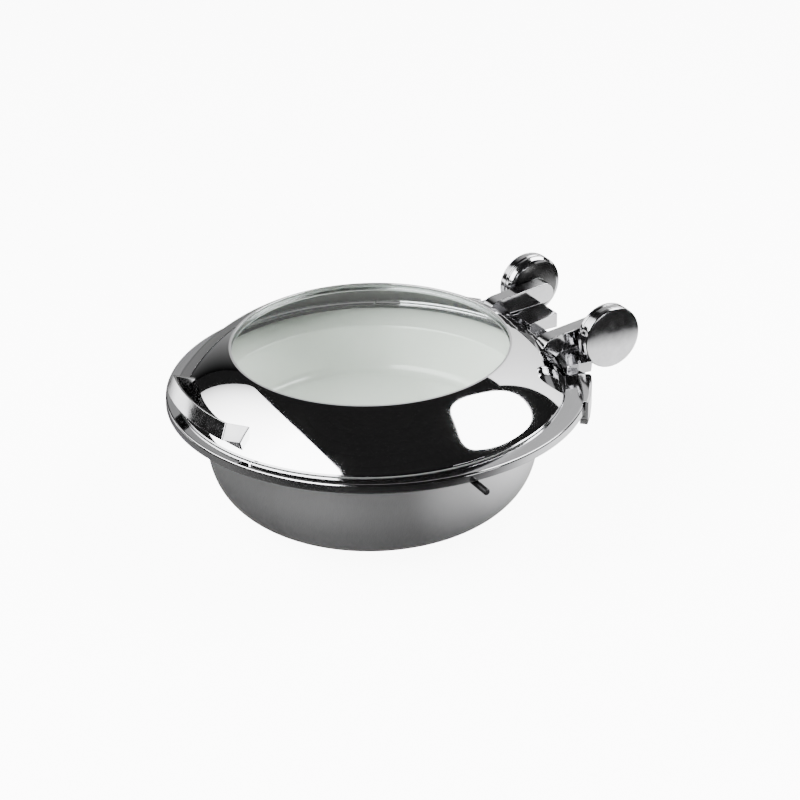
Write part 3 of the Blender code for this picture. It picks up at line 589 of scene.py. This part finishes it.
def dome_outline(steps=56):
    """Outside of the lid: skirt, dome arc and the flat land around the window."""
    start = (LID_RADIUS, LID_BOTTOM + SKIRT)
    end = (WINDOW_RADIUS + WINDOW_LAND, WINDOW_TOP)
    chord = Vector((end[0] - start[0], end[1] - start[1]))
    slope = math.atan2(chord.y, -chord.x)
    half_turn = DOME_START - slope
    radius = chord.length / (2.0 * math.sin(half_turn))
    points = []
    for step in range(steps + 1):
        angle = half_turn * (2.0 * step / steps - 1.0)
        along = chord.length / 2.0 + radius * math.sin(angle)
        rise = radius * (math.cos(angle) - math.cos(half_turn))
        points.append((start[0] - along * math.cos(slope) + rise * math.sin(slope),
                       start[1] + along * math.sin(slope) + rise * math.cos(slope)))
    return [(LID_RADIUS, LID_BOTTOM)] + points + [(WINDOW_RADIUS, WINDOW_TOP)]


def dome_block(clearance):
    """A solid with the lid's outside grown by a clearance, for cutting what sits on the lid."""
    low = LID_BOTTOM - 6.0 * MM
    grown = [(LID_RADIUS + clearance, low)] + offset_outline(dome_outline(12), -clearance)[1:]
    return turned([(0.0, low)] + grown + [(0.0, WINDOW_TOP + clearance)], 192, closed=False)


def make_lid():
    outside = dome_outline()
    inside = offset_outline(outside[1:-1], LID_SHEET)
    outline = list(outside)
    outline += [(WINDOW_RADIUS, WINDOW_TOP - LID_SHEET),
                (WINDOW_RADIUS + WINDOW_LAND - 0.4 * MM, WINDOW_TOP - LID_SHEET)]
    outline += list(reversed(inside[1:-1]))
    outline += [(LID_RADIUS - LID_SHEET, LID_BOTTOM + SKIRT - 0.3 * MM),
                (LID_RADIUS - LID_SHEET, LID_BOTTOM)]
    shell = as_object("lid_shell_fine", turned(filleted(outline, 0.5 * MM), ROUND))
    stand_for("lid_shell", shell, "mirror_steel", sharp=60.0)

    seal_top = WINDOW_TOP - LID_SHEET - GAP
    seal_bottom = seal_top - SEAL_THICKNESS
    seal = [(WINDOW_RADIUS + 0.4 * MM, seal_bottom), (GLASS_RADIUS, seal_bottom),
            (WINDOW_RADIUS + 1.9 * MM, seal_top), (WINDOW_RADIUS + 0.4 * MM, seal_top)]
    ring = as_object("glass_seal_fine", turned(filleted(seal, 0.3 * MM), ROUND))
    stand_for("glass_seal", ring, "silicone")
    glass_top = seal_bottom - GAP
    glass_bottom = glass_top - GLASS_THICKNESS
    bevel = 0.6 * MM
    plate = [(0.0, glass_bottom), (GLASS_RADIUS - bevel, glass_bottom),
             (GLASS_RADIUS, glass_bottom + bevel), (GLASS_RADIUS, glass_top - bevel),
             (GLASS_RADIUS - bevel, glass_top), (0.0, glass_top)]
    window = as_object("glass_window_fine", turned(plate, ROUND, closed=False))
    stand_for("glass_window", window, "glass", sharp=30.0)
    ledge = glass_bottom - GAP
    wall = GLASS_RADIUS + 0.6 * MM
    retainer = [(GLASS_RADIUS - 3.2 * MM, ledge - 1.2 * MM), (wall + 1.2 * MM, ledge - 1.2 * MM),
                (wall + 1.2 * MM, glass_top - 0.6 * MM), (wall, glass_top - 0.6 * MM),
                (wall, ledge), (GLASS_RADIUS - 3.2 * MM, ledge)]
    ring = as_object("glass_retainer_fine", turned(filleted(retainer, 0.3 * MM), ROUND))
    stand_for("glass_retainer", ring, "satin_steel")


def strip_top_edge():
    """Upper edge of the handle strip, from foot to foot, with a bend at each corner."""
    bow_steps = 40
    half_chord = CORNER[0]
    radius = (half_chord ** 2 + BOW ** 2) / (2.0 * BOW)
    half = math.asin(half_chord / radius)
    bow = []
    for step in range(bow_steps + 1):
        angle = half * (2.0 * step / bow_steps - 1.0)
        bulge = radius * (math.cos(angle) - math.cos(half))
        bow.append(Vector((radius * math.sin(angle), CORNER[1] - bulge, CORNER[2])))
    right_foot = Vector(FOOT)
    left_foot = Vector((-FOOT[0], FOOT[1], FOOT[2]))
    left_foot += (left_foot - bow[0]) * 0.3
    right_foot += (right_foot - bow[-1]) * 0.3

    def corner(outside, point, inside):
        first = point + (outside - point).normalized() * STRIP_BEND
        last = point + (inside - point).normalized() * STRIP_BEND
        spots = []
        for step in range(7):
            share = step / 6
            spots.append(first * (1 - share) ** 2 + point * (2 * share * (1 - share)) + last * share ** 2)
        return spots

    left = corner(left_foot, bow[0], bow[3])
    right = list(reversed(corner(right_foot, bow[-1], bow[-4])))
    middle = [p for p in bow if abs(p.x) < CORNER[0] - STRIP_BEND * 1.1]
    return [left_foot] + left + middle + right + [right_foot]


def make_handle():
    """A flat strip bent into a bow with two legs; its lower edge leans outward."""
    edge = strip_top_edge()
    nib = STRIP_NIB
    across = []
    for a, b, turns in ((0, 0, 180), (1, 0, 270), (1, 1, 0), (0, 1, 90)):
        for step in range(4):
            angle = math.radians(turns + 30 * step)
            across.append((a, b, math.cos(angle), math.sin(angle)))
    sections = []
    for index, point in enumerate(edge):
        before = edge[max(index - 1, 0)]
        after = edge[min(index + 1, len(edge) - 1)]
        run = (after - before).normalized()
        splay = STRIP_SPLAY * point.x / CORNER[0]
        down = Vector((splay, -math.sin(STRIP_LEAN), -math.cos(STRIP_LEAN))).normalized()
        thick = run.cross(down).normalized()
        ring = []
        for a, b, u, v in across:
            along = nib + a * (STRIP_HEIGHT - 2 * nib) + u * nib
            deep = nib + b * (STRIP - 2 * nib) + v * nib
            ring.append(point + down * along + thick * deep)
        sections.append(ring)
    handle = as_object("lid_handle_fine", loft(sections))
    cut_away(handle, [dome_block(GAP * 0.5)])
    stand_for("lid_handle", handle, "cast_steel", sharp=45.0)

    def faces_inward(face):
        side = Vector((face.center.x * 2.5, face.center.y + 0.13, 0.0))
        return face.normal.dot(side) < -0.02

    # The strip's inward faces, toward the lid, get the dark look: painted shade between the strip and the
    # lid.
    paint_shade_on_faces(handle, faces_inward)


def make_arms():
    x = ARM_INNER_X
    top = FLANGE_TOP + 32.0 * MM
    points = [(x, 172.0 * MM, FLANGE_TOP + 20.0 * MM), (x, 177.0 * MM, top - 4.0 * MM),
              (x, 181.0 * MM, top - 1.0 * MM), (x, 187.0 * MM, top + 0.4 * MM)]
    for degrees in range(97, -108, -5):
        angle = math.radians(degrees)
        points.append((x, HINGE_Y + ARM_END_RADIUS * math.cos(angle),
                       HINGE_Z + ARM_END_RADIUS * math.sin(angle)))
    points.append((x, 195.0 * MM, BLOCK_FRONT_TOP + 1.0 * MM))
    points.append((x, 188.0 * MM, BLOCK_FRONT_TOP - 4.0 * MM))
    block = extruded(points, (ARM_OUTER_X - ARM_INNER_X, 0.0, 0.0))
    hole = rod(AXLE_RADIUS + GAP, (AXLE_START_X - GAP, HINGE_Y, HINGE_Z),
               (ARM_OUTER_X + 2.0 * MM, HINGE_Y, HINGE_Z))
    stand_for_pair("lid_arm", block, "cast_steel",
                   (hole, dome_block(GAP * 0.5)), bevel=1.1 * MM, sharp=40.0)


def make_drums():
    length = DRUM_LENGTH
    floor = 5.0 * MM
    bore = DRUM_RADIUS - 4.5 * MM
    groove = 1.2 * MM
    middle = length * 0.5
    drum = [(BUSH_RADIUS + GAP, 0.0), (DRUM_RADIUS - 13.0 * MM, 1.0 * MM),
            (DRUM_RADIUS - 6.5 * MM, 2.2 * MM), (DRUM_RADIUS - 2.5 * MM, 4.0 * MM),
            (DRUM_RADIUS, 7.0 * MM), (DRUM_RADIUS, middle), (DRUM_RADIUS - groove, middle + 0.8 * MM),
            (DRUM_RADIUS - groove, middle + 2.0 * MM), (DRUM_RADIUS, middle + 2.8 * MM),
            (DRUM_RADIUS, length), (bore, length), (bore, floor), (BUSH_RADIUS + GAP, floor)]
    stand_for_pair("hinge_drum", along_x(turned(filleted(drum, 0.7 * MM), SMALL_ROUND), DRUM_INNER_X),
                   "cast_steel")
    # The drums' inner faces get the dark look: painted shade between the drums and the arms.
    for side in ("right_", "left_"):
        paint_shade_on_faces(bpy.data.objects[side + "hinge_drum_fine"],
                  lambda face: abs(face.center.x) < DRUM_INNER_X + 3.0 * MM)
    rim = DRUM_RADIUS - 0.2 * MM
    cap = [(0.0, 0.0), (rim, 0.0), (rim, CAP_THICKNESS - 3.0 * MM),
           (rim - 1.4 * MM, CAP_THICKNESS - 1.9 * MM), (rim * 0.85, CAP_THICKNESS - 1.2 * MM),
           (rim * 0.6, CAP_THICKNESS - 0.5 * MM), (rim * 0.3, CAP_THICKNESS - 0.1 * MM),
           (0.0, CAP_THICKNESS)]
    cap_start = DRUM_INNER_X + length + GAP
    smooth = filleted(cap, 1.2 * MM, closed=False, steps=6)
    stand_for_pair("drum_cap", along_x(turned(smooth, SMALL_ROUND, closed=False), cap_start),
                   "cast_steel", sharp=60.0)


def arc_points(radius, centre_y, first, last, steps, height):
    points = []
    for step in range(steps + 1):
        angle = math.radians(first + (last - first) * step / steps)
        points.append((radius * math.cos(angle), centre_y + radius * math.sin(angle), height))
    return points


def make_hinge_bases():
    low = FLANGE_TOP + GAP
    end_angle = math.degrees(math.acos(BLOCK_END_X / BLOCK_FRONT))
    seam_angle = math.degrees(math.acos(SEAM / BLOCK_FRONT))
    outline = arc_points(BLOCK_FRONT, 0.0, end_angle, seam_angle, 30, low)
    outline += [(SEAM, BLOCK_BACK, low), (60.0 * MM, BLOCK_BACK, low),
                (BLOCK_END_X + 4.0 * MM, 212.0 * MM, low)]
    block = extruded(outline, (0.0, 0.0, BLOCK_BACK_TOP + 6.0 * MM - low))
    saddle = rod(DRUM_RADIUS + GAP, (DRUM_INNER_X - 1.2 * MM, HINGE_Y, HINGE_Z),
                 (DRUM_INNER_X + 50.0 * MM, HINGE_Y, HINGE_Z), sides=SMALL_ROUND)
    slope_top = [(-2.0 * MM, 170.0 * MM, BLOCK_FRONT_TOP), (-2.0 * MM, BLOCK_FRONT, BLOCK_FRONT_TOP),
                 (-2.0 * MM, BLOCK_BACK + 1.0 * MM, BLOCK_BACK_TOP),
                 (-2.0 * MM, BLOCK_BACK + 1.0 * MM, BLOCK_BACK_TOP + 20.0 * MM),
                 (-2.0 * MM, 170.0 * MM, BLOCK_BACK_TOP + 20.0 * MM)]
    above = extruded(slope_top, (120.0 * MM, 0.0, 0.0))
    level = BLOCK_FRONT_TOP
    step = ARM_INNER_X - 1.5 * MM
    flat_top = [(step, 170.0 * MM, level), (step, 260.0 * MM, level),
                (step, 260.0 * MM, level + 30.0 * MM), (step, 170.0 * MM, level + 30.0 * MM)]
    beside = extruded(flat_top, (80.0 * MM, 0.0, 0.0))
    stand_for_pair("hinge_base", block, "cast_steel", (saddle, above, beside),
                   bevel=0.9 * MM, sharp=40.0)


def make_claws():
    top = FLANGE_TOP + GAP
    outer = CLAW_OUTER
    inner = RIM_RADIUS + 0.4 * MM
    steps = 24
    sections = []
    for step in range(steps + 1):
        share = step / steps
        angle = math.radians(CLAW_FIRST + (CLAW_LAST - CLAW_FIRST) * share)
        finger = inner - 2.0 * MM - 11.0 * MM * share
        rise = (2.0 + 4.0 * share) * MM
        outline = [(finger, top), (finger, top + rise * 0.6), (finger + 2.0 * MM * share, top + rise),
                   (outer - 2.0 * MM, top + rise), (outer, top + rise - 2.0 * MM),
                   (outer, CLAW_BOTTOM), (inner - 9.0 * MM, CLAW_BOTTOM),
                   (inner - 9.0 * MM, CLAW_BOTTOM + 3.0 * MM), (inner, CLAW_BOTTOM + 3.0 * MM),
                   (inner, top)]
        sections.append([(radius * math.cos(angle), RIM_OFFSET + radius * math.sin(angle), height)
                         for radius, height in outline])
    stand_for_pair("rim_claw", loft(sections), "cast_steel", bevel=0.5 * MM, sharp=45.0)
    low = CLAW_BOTTOM - 6.0 * MM
    outline = arc_points(outer - 9.0 * MM, RIM_OFFSET, CLAW_FIRST, CLAW_LAST - 6.0, 12, low)
    outline += arc_points(outer - 0.5 * MM, RIM_OFFSET, CLAW_LAST - 6.0, CLAW_FIRST, 12, low)
    pad = extruded(outline, (0.0, 0.0, 6.0 * MM - GAP))
    stand_for_pair("claw_pad", pad, "pad_rubber", bevel=0.8 * MM)


def make_pegs():
    start = BOWL_RADIUS + 0.5 * MM
    reach = RIM_RADIUS + PEG_REACH - start
    outline = [(0.0, 0.0), (PEG_RADIUS, 0.0), (PEG_RADIUS, reach - 1.2 * MM),
               (PEG_RADIUS - 1.2 * MM, reach), (0.0, reach)]
    peg = turned(filleted(outline, 0.5 * MM, closed=False), 48, closed=False)
    bmesh.ops.rotate(peg, verts=peg.verts, cent=(0, 0, 0),
                     matrix=Matrix.Rotation(math.radians(90.0), 3, "Y"))
    bmesh.ops.translate(peg, verts=peg.verts, vec=(start, -3.0 * MM, PEG_Z))
    stand_for_pair("side_peg", peg, "dark_steel")


def paint_small_nodes():
    """The CAD nodes that stay as they are get the finish of their material slot."""
    slots = {part["node"]: part["material_slot"] for part in frame["record"]["subparts"]}
    for name, node in frame["nodes"].items():
        if node.hide_render:
            continue
        node.data.materials.clear()
        node.data.materials.append(looks[slots[name]].material)


# ---------------------------------------------------------------- the studio

def emitter(name, corners, strength, rounding=0.0, far=0.0, reach=0.6, power=1.0):
    """A softbox: a flat panel with rounded corners, dimmer by a share toward its first side."""
    outline = [Vector(corner) for corner in corners]
    if rounding:
        outline = [Vector(p) for p in filleted_3d(outline, rounding)]
    bm = bmesh.new()
    bm.faces.new([bm.verts.new(point) for point in outline])
    panel = as_object(name, bm)
    graph = Graph(name + "_light")
    graph.set(Base_Color=BLACK, Roughness=1.0, Specular_IOR_Level=0.0, Emission_Color=WHITE,
              Emission_Strength=strength)
    if far:
        side = Vector(corners[1]) - Vector(corners[0])
        dot = graph.node("ShaderNodeVectorMath", operation="DOT_PRODUCT")
        dot.inputs[1].default_value = side.normalized()
        graph.link(graph.place, dot.inputs[0])
        begin = Vector(corners[0]).dot(side.normalized())
        ramp = graph.spread(dot.outputs["Value"], 1.0 - far, 1.0, begin, begin + side.length * reach)
        level = graph.math("MULTIPLY", graph.math("POWER", ramp, power), strength)
        graph.link(level, graph.shader.inputs["Emission Strength"])
    panel.data.materials.append(graph.material)
    panel.visible_camera = False
    return panel


def filleted_3d(points, radius, steps=8):
    made = []
    count = len(points)
    for index, point in enumerate(points):
        before = points[index - 1] - point
        after = points[(index + 1) % count] - point
        first = point + before.normalized() * min(radius, before.length * 0.45)
        last = point + after.normalized() * min(radius, after.length * 0.45)
        for step in range(steps + 1):
            share = step / steps
            made.append(first * (1 - share) ** 2 + point * (2 * share * (1 - share)) + last * share ** 2)
    return made


def toward(azimuth, tilt, distance):
    """A point seen from the lid at an angle from +X round to +Y and a tilt from straight up,
    on the vertical wall at that distance."""
    turn = math.radians(azimuth)
    return (distance * math.cos(turn), distance * math.sin(turn),
            AIM_HEIGHT + distance / math.tan(math.radians(tilt)))


def wall_panel(normal, distance, first, last, top_tilt, bottom_tilt):
    """Corners of a flat upright panel that faces the object, between two directions."""
    corners = []
    for azimuth, tilt in ((first, top_tilt), (last, top_tilt), (last, bottom_tilt), (first, bottom_tilt)):
        reach = distance / math.cos(math.radians(azimuth - normal))
        x, y, _ = toward(azimuth, 45.0, reach)
        corners.append((x, y, AIM_HEIGHT + distance / math.tan(math.radians(tilt))))
    return corners


def glossy_only(panel):
    """Let a panel show in reflections and nowhere else."""
    panel.visible_camera = False
    panel.visible_diffuse = False
    panel.visible_transmission = False
    panel.visible_shadow = False


def right_panel():
    """Corners of the slanted softbox on the right, given as slopes x/z and y/z from the lid."""
    facing = Vector((math.cos(math.radians(67.0)), math.sin(math.radians(67.0)), 0.87)).normalized()
    corners = []
    for across, along in ((0.07, 0.47), (0.92, 0.56), (1.08, 1.30), (0.50, 2.75), (-0.10, 1.55)):
        ray = Vector((across, along, 1.0))
        corners.append(ray * (2.2 / ray.dot(facing)) + Vector((0.0, 0.0, AIM_HEIGHT)))
    return corners


def make_floor():
    """A pale glowing floor, and a ring just above it that only polished metal can see."""
    floor_mesh = bmesh.new()
    bmesh.ops.create_circle(floor_mesh, cap_ends=True, segments=96, radius=30.0)
    floor = as_object("floor", floor_mesh)
    graph = Graph("pale_floor")
    patches = graph.noise(0.8, 3.0)
    graph.link(graph.tones(graph.spread(patches, 0.0, 1.0), (0.86, 0.86, 0.86), (0.88, 0.88, 0.88)),
               graph.shader.inputs["Base Color"])
    graph.set(Roughness=0.9, Specular_IOR_Level=0.1, Emission_Color=WHITE,
              Emission_Strength=FLOOR_GLOW)
    floor.data.materials.append(graph.material)

    above = 0.4 * MM
    ring = turned([(0.1, above), (11.9, above)], 96, closed=False)
    card = as_object("floor_in_reflections", ring)
    graph = Graph("floor_seen_in_steel")
    graph.set(Base_Color=BLACK, Roughness=1.0, Specular_IOR_Level=0.0, Emission_Color=WHITE)
    parts = graph.node("ShaderNodeSeparateXYZ")
    graph.link(graph.place, parts.inputs[0])
    east, north = parts.outputs[0], parts.outputs[1]
    distance = graph.math("SQRT", graph.math("ADD", graph.math("MULTIPLY", east, east),
                                             graph.math("MULTIPLY", north, north)))

    def lobe(azimuth, start, end, strength):
        """Grows from nothing to its strength as the direction nears an azimuth."""
        turn = math.radians(azimuth)
        facing = graph.math("DIVIDE", graph.math("ADD", graph.math("MULTIPLY", east, math.cos(turn)),
                                                 graph.math("MULTIPLY", north, math.sin(turn))),
                            distance)
        return graph.spread(facing, 0.0, strength, math.cos(math.radians(start)),
                            math.cos(math.radians(end)))

    def total(base, lobes):
        amount = base
        for values in lobes:
            amount = graph.math("ADD", lobe(*values), amount)
        return amount

    near_tone = total(FLOOR_NEAR, FLOOR_NEAR_LOBES)
    beyond = graph.math("MULTIPLY", lobe(*FLOOR_HORIZON), graph.spread(distance, 0.0, 1.0, 1.1, 1.7))
    far_tone = graph.math("ADD", total(FLOOR_FAR, FLOOR_FAR_LOBES), beyond)
    reach = graph.math("ADD", distance, lobe(-29.0, 110.0, 30.0, 0.22))
    share = graph.spread(reach, 0.0, 1.0, 0.60, 0.74)
    mixed = graph.math("ADD", graph.math("MULTIPLY", near_tone, graph.math("SUBTRACT", 1.0, share)),
                       graph.math("MULTIPLY", far_tone, share))
    # Darker near the base: a painted contact shadow in the floor as polished metal sees it.
    painted_contact_shadow = graph.spread(distance, 0.02, 1.0, 0.14, 0.34)
    graph.link(graph.math("MULTIPLY", mixed, painted_contact_shadow), graph.shader.inputs["Emission Strength"])
    card.data.materials.append(graph.material)
    glossy_only(card)


def make_studio():
    make_floor()
    emitter("left_softbox", wall_panel(-102.0, 1.5, -160.0, -48.0, 30.4, 68.0), LEFT_LIGHT,
            rounding=0.35, far=0.9)
    emitter("right_softbox", right_panel(), RIGHT_LIGHT, rounding=0.55)
    emitter("back_wall", wall_panel(142.0, 3.2, 190.0, 99.0, 42.0, 89.0), BACK_LIGHT, far=0.99,
            reach=0.95, power=1.7)
    emitter("right_wall", wall_panel(62.0, 3.4, 91.0, 33.0, 77.0, 84.0), RIGHT_WALL_LIGHT)
    emitter("low_card", [toward(13.0, 86.0, 1.5), toward(31.0, 86.0, 1.5), toward(31.0, 95.5, 1.5),
                         toward(13.0, 95.5, 1.5)], LEFT_LIGHT * 0.5)

    tent = bmesh.new()
    bmesh.ops.create_uvsphere(tent, u_segments=48, v_segments=24, radius=12.0)
    below = [v for v in tent.verts if v.co.z < -0.01]
    bmesh.ops.delete(tent, geom=below, context="VERTS")
    ceiling = as_object("dark_ceiling", tent)
    graph = Graph("dark_cloth")
    weave = graph.noise(3.0, 4.0)
    graph.link(graph.tones(graph.spread(weave, 0.0, 1.0), (0.0030, 0.0030, 0.0030),
                           (0.0036, 0.0036, 0.0036)), graph.shader.inputs["Base Color"])
    graph.set(Roughness=1.0, Specular_IOR_Level=0.0)
    ceiling.data.materials.append(graph.material)
    ceiling.visible_camera = False
    ceiling.visible_shadow = False

    world = bpy.data.worlds.new("pale_surround")
    world.use_nodes = True
    background = world.node_tree.nodes["Background"]
    background.inputs["Color"].default_value = (1.0, 1.0, 1.0, 1.0)
    background.inputs["Strength"].default_value = WORLD_LIGHT
    bpy.context.scene.world = world


def make_camera():
    """The view from the right of the handle, a little above."""
    right = Vector(CAMERA_RIGHT).normalized()
    ahead = Vector(CAMERA_AHEAD).normalized()
    up = right.cross(ahead)
    right = ahead.cross(up)
    data = bpy.data.cameras.new("camera")
    data.sensor_width = SENSOR_MM
    data.lens = LENS_MM
    data.clip_start = 0.05
    data.clip_end = 100.0
    camera = bpy.data.objects.new("camera", data)
    bpy.context.scene.collection.objects.link(camera)
    turn = Matrix((right, up, -ahead)).transposed()
    camera.matrix_world = Matrix.Translation(CAMERA_PLACE) @ turn.to_4x4()
    bpy.context.scene.camera = camera


looks = make_looks()
make_camera()
make_pans()
make_rim()
make_lid()
make_handle()
make_arms()
make_drums()
make_hinge_bases()
make_claws()
make_pegs()
paint_small_nodes()
make_studio()
